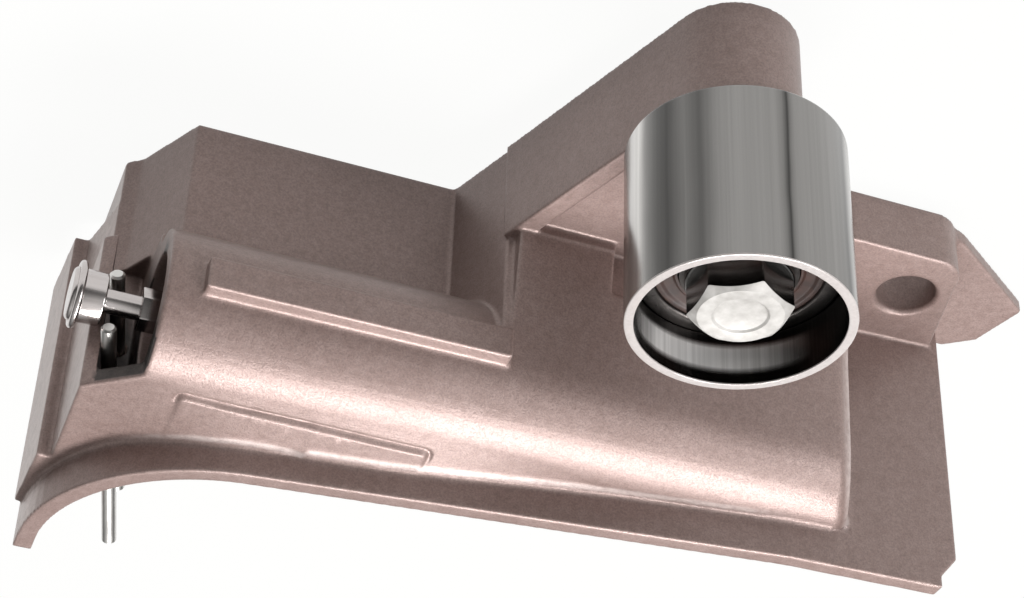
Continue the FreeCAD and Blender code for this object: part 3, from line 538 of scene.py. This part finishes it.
def press_panel(points, outward):
    """How far the bare panel and its groove move the casting's front, and where a painted highlight runs
    along its foot.
    """
    x, y, z = points.T
    grid = numpy.linspace(-98, 40, 139)
    foot = numpy.interp(x, grid, [foot_y(value) for value in grid])

    # Only the front's own skin moves: it faces the viewer and lies above the guard
    front = (outward[:, 2] > 0.6) & (z > 60) & (z < 67) & (y > foot + 0.4)

    # Distance from the panel's rounded outline, less than 0 inside it
    side = numpy.maximum(x - PANEL_RIGHT, PANEL_LEFT - x) + PANEL_CORNER
    over = y - PANEL_TOP + PANEL_CORNER
    beyond = numpy.hypot(numpy.maximum(side, 0), numpy.maximum(over, 0)) - PANEL_CORNER
    outside = beyond + numpy.minimum(numpy.maximum(side, over), 0)

    left = x < (PANEL_LEFT + PANEL_RIGHT) / 2
    fade = numpy.where(left, ramp_up(y, *FADE_LEFT), ramp_up(y - foot, *FADE_RIGHT))
    groove = GROOVE_DEPTH * numpy.exp(-(outside / GROOVE_WIDTH) ** 2) * fade
    lift = PANEL_LIFT * numpy.clip((y - foot) / (PANEL_TOP - foot), 0, 1) * ramp_up(-outside, 0.28, 0.98)

    # The painted highlight line lies 1.7 mm above the guard and fades out at both of its ends
    rubbed_and_sheen = front * ramp_up(-numpy.abs(y - foot - 1.7), -0.9, -0.3)
    rubbed_and_sheen *= ramp_up(-x, -GUARD_KINK[0], 14 - GUARD_KINK[0]) * ramp_up(x, -92, -78)
    return numpy.where(front, lift - groove, 0), rubbed_and_sheen


def round_block_end(points, radius=3.2):
    """Rounds the edge where the front meets the block's leaning end, and says where a painted highlight
    lies on that rounding.
    """

    # How far each point lies past the leaning end, and over the barrel or its tangent on the block
    lean, steepest = math.radians(BLOCK_LEAN), math.radians(BLOCK_TANGENT)
    side = numpy.array((math.cos(lean), math.sin(lean), 0))
    past = points @ side - (BLOCK_FOOT[0] * side[0] + BLOCK_FOOT[1] * side[1])
    reach = points - numpy.array((0, BARREL_Y, BARREL_Z))
    turn = numpy.clip(numpy.arctan2(reach[:, 1], reach[:, 2]), 0, steepest)
    out = numpy.stack((numpy.zeros_like(turn), numpy.sin(turn), numpy.cos(turn)), axis=1)
    over = (reach * out).sum(axis=1) - BARREL_RADIUS

    # The radius runs out to nothing towards the engine side
    radius = radius * numpy.clip((points[:, 2] - 23) / 9, 0.001, 1)
    inner = numpy.stack((past + radius, over + radius), axis=1)
    length = numpy.maximum(numpy.linalg.norm(inner, axis=1), 1e-6)
    near = (inner.min(axis=1) > 0) & (inner.max(axis=1) < radius + 0.6) & (length > radius)
    near &= points[:, 1] > foot_y(BLOCK_FOOT[0]) + 0.2
    shift = inner * ((radius / length - 1) * near)[:, None]
    # Painted highlight along the rounding, on its part turned towards the block's end
    rubbed_and_sheen = near * numpy.clip(inner[:, 0] / length * 2.6 - 1.5, 0, 1) * (radius > 2)
    return points + shift[:, :1] * side + shift[:, 1:] * out, rubbed_and_sheen


def read_vertices(mesh, what):
    """Every vertex's place or normal, one row each."""
    values = numpy.empty(len(mesh.vertices) * 3)
    mesh.vertices.foreach_get(what, values)
    return values.reshape(-1, 3)


def add_mask(mesh, name, values):
    """Adds a number for each vertex that the material reads by name."""
    mask = mesh.attributes.new(name, "FLOAT", "POINT")
    mask.data.foreach_set("value", values)


def casting_skin(voxel=0.36, rounds=7, most_triangles=190000, wear_depth=0.22):
    """A cast skin over the housing: its form with fillets at the guard's foot and every edge softened."""
    source = frame["nodes"]["housing"]
    work = bmesh.new()
    work.from_mesh(source.data)
    bmesh.ops.transform(work, matrix=source.matrix_world, verts=work.verts)
    front_slope(work)
    sleeve_cover(work)
    block_side = (math.cos(math.radians(BLOCK_LEAN)), math.sin(math.radians(BLOCK_LEAN)), 0)
    corner_fill(work, [((*BLOCK_FOOT, height), block_side, (0, 1, 0))
                       for height in (EAR_FRONT - 1, FRONT_FLAT)], 2.6)
    obj = new_object("casting_skin", make_mesh(work, "casting_skin"), "cast_aluminium", "casting", 0)
    remesh = obj.modifiers.new("cast", "REMESH")
    remesh.mode = "VOXEL"
    remesh.voxel_size = voxel * MM
    apply_modifiers(obj)
    before = read_vertices(obj.data, "co")
    outward = read_vertices(obj.data, "normal")
    ease = obj.modifiers.new("ease", "SMOOTH")
    ease.factor = 0.5
    ease.iterations = rounds
    apply_modifiers(obj)
    points = read_vertices(obj.data, "co")

    # Easing sinks a sharp edge and fills an inside corner, which says where the skin is rubbed
    sunk = ((before - points) * outward).sum(axis=1) / (wear_depth * MM)
    points = points / MM
    edges = numpy.clip(sunk - 0.35, 0, 1)
    corners = numpy.clip(-sunk - 0.5, 0, 1)
    # Painted light: faces turned to the left, past the damper's end, are brightened as if lit from the
    # left
    left_lit = ramp_up(-outward[:, 0], 0.94, 0.98) * (points[:, 0] < LEFT_LIT_X)
    # Painted shade: marks the skin inside the damper's window, which is painted near black
    low, high = numpy.array(WINDOW).T
    window_shade = ((points > low) & (points < high)).all(axis=1)
    moved, foot_highlight = press_panel(points, outward)
    points[:, 2] += moved
    points, end_highlight = round_block_end(points)
    # Real wear on edges and corners, together with painted light and painted highlights, in one mask
    rubbed_and_sheen = (edges, 0.35 * corners, 0.9 * left_lit, 0.8 * foot_highlight, 0.9 * end_highlight)
    add_mask(obj.data, "wear_and_sheen", numpy.maximum.reduce(rubbed_and_sheen))
    add_mask(obj.data, "window_shade", window_shade.astype(float))
    obj.data.vertices.foreach_set("co", (points * MM).ravel())
    thin = obj.modifiers.new("thin", "DECIMATE")
    thin.ratio = most_triangles / (2 * len(obj.data.polygons))
    apply_modifiers(obj)
    points = numpy.clip(read_vertices(obj.data, "co"), CAD_BOX[0], CAD_BOX[1])
    obj.data.vertices.foreach_set("co", points.ravel())
    obj.data.materials.clear()
    obj.data.materials.append(MATERIALS["cast_aluminium"])
    obj.data.polygons.foreach_set("use_smooth", [True] * len(obj.data.polygons))
    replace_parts(obj, "housing")


for entry in frame["record"]["subparts"]:
    cad = frame["nodes"][entry["node"]]
    cad.data.materials.clear()
    cad.data.materials.append(MATERIALS[entry["material_slot"]])

casting_skin()

# Roller and what shows in its recess
lathe("roller_face", [
    (ROLLER_R - WALL - 1.2, REAR), (ROLLER_R, REAR, 0.8), (ROLLER_R, FRONT, 0.3),
    (ROLLER_R - WALL, FRONT, 0.2), (ROLLER_R - WALL, BEARING_REAR), (ROLLER_R - WALL - 1.2, BEARING_REAR)],
    "polished_steel", "roller", "roller_sleeve", segments=224)
lathe("outer_ring_face", [
    (15.0, BEARING_REAR), (18.29, BEARING_REAR), (18.29, BEARING_FRONT, 0.5), (14.9, BEARING_FRONT, 0.5),
    (14.9, BEARING_FRONT - 2.4), (15.9, BEARING_FRONT - 4.2), (15.9, BEARING_REAR + 4.2),
    (15.0, BEARING_REAR + 2.4)],
    "bearing_steel", "roller", "bearing_outer_ring", segments=160)
lathe("front_seal_face", [
    (10.65, 51.2), (14.9, 51.2), (14.9, 52.4), (14.0, 52.4, 0.2), (13.4, 52.0, 0.2), (11.6, 52.0, 0.2),
    (11.2, 52.4, 0.2), (10.65, 52.4)],
    "seal_rubber", "roller", "front_bearing_seal", segments=160, radius=0.1)
lathe("bolt_washer_face", [
    (5.1, BEARING_FRONT), (9.6, BEARING_FRONT), (9.6, HEAD_LOW, 0.5), (5.1, HEAD_LOW)],
    "zinc_steel", "casting", "bolt_washer")


def bolt_head(segments=144):
    """The M10 hex bolt: a chamfered hex head with a shallow dished top, and its shank."""
    turns = [2 * math.pi * (k + 0.5) / segments for k in range(segments)]
    sixth = math.pi / 3
    hexagon = [HEAD_FLATS / 2 / math.cos((turn + sixth / 2) % sixth - sixth / 2) for turn in turns]
    chamfer = [HEAD_TOP - HEAD_EDGE - (reach - HEAD_TOP_R) * HEAD_CHAMFER for reach in hexagon]
    work = bmesh.new()
    rings = [make_ring(work, turns, *point) for point in SHANK]
    for heights in ([HEAD_LOW] * segments, chamfer):
        corners = [Vector((reach * math.cos(turn), reach * math.sin(turn), height))
                   for turn, reach, height in zip(turns, hexagon, heights)]
        rings.append([work.verts.new(corner * MM) for corner in corners])
    rings += [make_ring(work, turns, *point) for point in [(HEAD_TOP_R, HEAD_TOP)] + HEAD_DISH]
    join_rings(work, rings)
    mesh = make_mesh(work, "roller_bolt_head")
    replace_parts(new_object("roller_bolt_head", mesh, "zinc_steel", "casting", 25), "roller_bolt")


bolt_head()

# Damper rod
lathe("rod_head", [
    (0, ROD_LEFT), (4.5, ROD_LEFT, 0.3), (5.0, ROD_LEFT + 0.5, 0.3), (5.0, ROD_HEAD_RIGHT, 0.5),
    (2.3, ROD_HEAD_RIGHT, 0.3), (2.3, HEX_LEFT + 0.5, 0.2), (3.4, HEX_LEFT + 0.5), (3.4, HEX_RIGHT - 0.2),
    (3.6, HEX_RIGHT), (3.6, -48.0), (0, -48.0)],
    "rod_chrome", "plunger_and_rod", "push_rod", radius=0.1, segments=96, place=along_barrel(),
    closed=False)


def rod_hex():
    """The hexagon on the rod behind its head."""
    turns = [math.pi / 3 * k for k in range(6)]
    work = bmesh.new()
    close_sections(work, [
        [work.verts.new((x * MM, (BARREL_Y + HEX_REACH * math.cos(turn)) * MM,
                         (BARREL_Z + HEX_REACH * math.sin(turn)) * MM)) for turn in turns]
        for x in (HEX_LEFT, HEX_RIGHT)])
    bmesh.ops.recalc_face_normals(work, faces=work.faces)
    bmesh.ops.bevel(work, geom=work.edges[:], offset=0.25 * MM, segments=3, affect="EDGES", profile=0.5)
    new_object("rod_hex", make_mesh(work, "rod_hex"), "rod_chrome", "plunger_and_rod", 30)


rod_hex()


def make_floor(size=6, drop=0.0001, white_share=0.95):
    """A pale floor that shows white to the camera and in the metal, and keeps the object's shadow."""
    bpy.ops.mesh.primitive_plane_add(size=size, location=(0, 0, -drop))
    floor = bpy.context.object
    floor.name = "floor"
    m = Nodes("floor")
    m.set(Base_Color=(0.50, 0.50, 0.49, 1), Roughness=0.9)
    rays = m.add("ShaderNodeLightPath").outputs
    white = m.add("ShaderNodeEmission")
    white.inputs["Color"].default_value = (1, 1, 0.992, 1)
    white.inputs["Strength"].default_value = 1.0
    seen = m.math("MAXIMUM", rays["Is Glossy Ray"], rays["Is Transmission Ray"])
    seen = m.math("MAXIMUM", rays["Is Camera Ray"], seen)
    mix = m.add("ShaderNodeMixShader")
    m.link(m.math("MULTIPLY", seen, white_share), mix.inputs["Fac"])
    m.link(m.shader.outputs["BSDF"], mix.inputs[1])
    m.link(white.outputs["Emission"], mix.inputs[2])
    m.link(mix.outputs["Shader"], m.tree.nodes["Material Output"].inputs["Surface"])
    floor.data.materials.append(m.material)


def add_area(name, place, aim, size, power, along=(1, 0, 0), colour=(1, 1, 1)):
    """Adds a rectangular lamp that faces aim, its long side turned along the given way. In metres."""
    light = bpy.data.lights.new(name, "AREA")
    light.shape = "RECTANGLE"
    light.size, light.size_y = size
    light.energy = power
    light.color = colour
    obj = bpy.data.objects.new(name, light)
    bpy.context.scene.collection.objects.link(obj)
    back = (Vector(place) - Vector(aim)).normalized()
    side = Vector(along)
    side = (side - back * side.dot(back)).normalized()
    turn = Matrix((side, back.cross(side), back)).transposed().to_4x4()
    obj.matrix_world = Matrix.Translation(place) @ turn


def make_world():
    """Studio surroundings: bands of brightness round the vertical axis, and more light from above."""
    world = bpy.data.worlds.new("studio")
    bpy.context.scene.world = world
    world.use_nodes = True
    tree = world.node_tree
    tree.nodes.clear()
    add = tree.nodes.new
    link = tree.links.new
    coordinates = add("ShaderNodeTexCoord")
    split = add("ShaderNodeSeparateXYZ")
    link(coordinates.outputs["Generated"], split.inputs["Vector"])
    angle = add("ShaderNodeMath")
    angle.operation = "ARCTAN2"
    link(split.outputs["Y"], angle.inputs[0])
    link(split.outputs["X"], angle.inputs[1])
    turn = add("ShaderNodeMapRange")
    turn.inputs["From Min"].default_value = -math.pi
    turn.inputs["From Max"].default_value = math.pi
    link(angle.outputs["Value"], turn.inputs["Value"])
    bands = add("ShaderNodeValToRGB")
    set_stops(bands, [(position, (level, level, level * 0.985)) for position, level in WORLD_BANDS])
    link(turn.outputs["Result"], bands.inputs["Fac"])
    sky = add("ShaderNodeValToRGB")
    set_stops(sky, [(position, (level,)) for position, level in WORLD_SKY])
    link(split.outputs["Z"], sky.inputs["Fac"])
    mixed = add("ShaderNodeMix")
    mixed.data_type = "RGBA"
    mixed.blend_type = "MULTIPLY"
    mixed.inputs["Factor"].default_value = 1.0
    link(bands.outputs["Color"], mixed.inputs["A"])
    link(sky.outputs["Color"], mixed.inputs["B"])
    background = add("ShaderNodeBackground")
    background.inputs["Strength"].default_value = WORLD_STRENGTH
    link(mixed.outputs["Result"], background.inputs["Color"])
    output = add("ShaderNodeOutputWorld")
    link(background.outputs["Background"], output.inputs["Surface"])


def make_camera():
    """The photograph's camera: its lens, the directions of its image and its place, in metres."""
    camera = bpy.data.cameras.new("photo_camera")
    camera.sensor_width = 36.0
    camera.lens = 80.86
    obj = bpy.data.objects.new("photo_camera", camera)
    bpy.context.scene.collection.objects.link(obj)
    right = Vector((0.9374, 0.3467, -0.0327)).normalized()
    back = Vector((-0.2629, 0.7661, 0.5865)).normalized()
    up = back.cross(right).normalized()
    right = up.cross(back).normalized()
    turn = Matrix((right, up, back)).transposed().to_4x4()
    obj.matrix_world = Matrix.Translation((-0.1405, 0.2889, 0.2908)) @ turn
    bpy.context.scene.camera = obj


make_floor()
make_world()
add_area("key_light", (0.24, -0.17, 0.92), (0, -0.06, 0.05), (0.72, 0.21), 14.5,
         (0.64, 0.77, 0), (1.0, 0.98, 0.97))
add_area("fill_light", (0.60, 0.55, 0.60), (0, -0.05, 0.03), (0.5, 0.5), 4.6)
make_camera()

bpy.context.scene.view_settings.view_transform = "Standard"
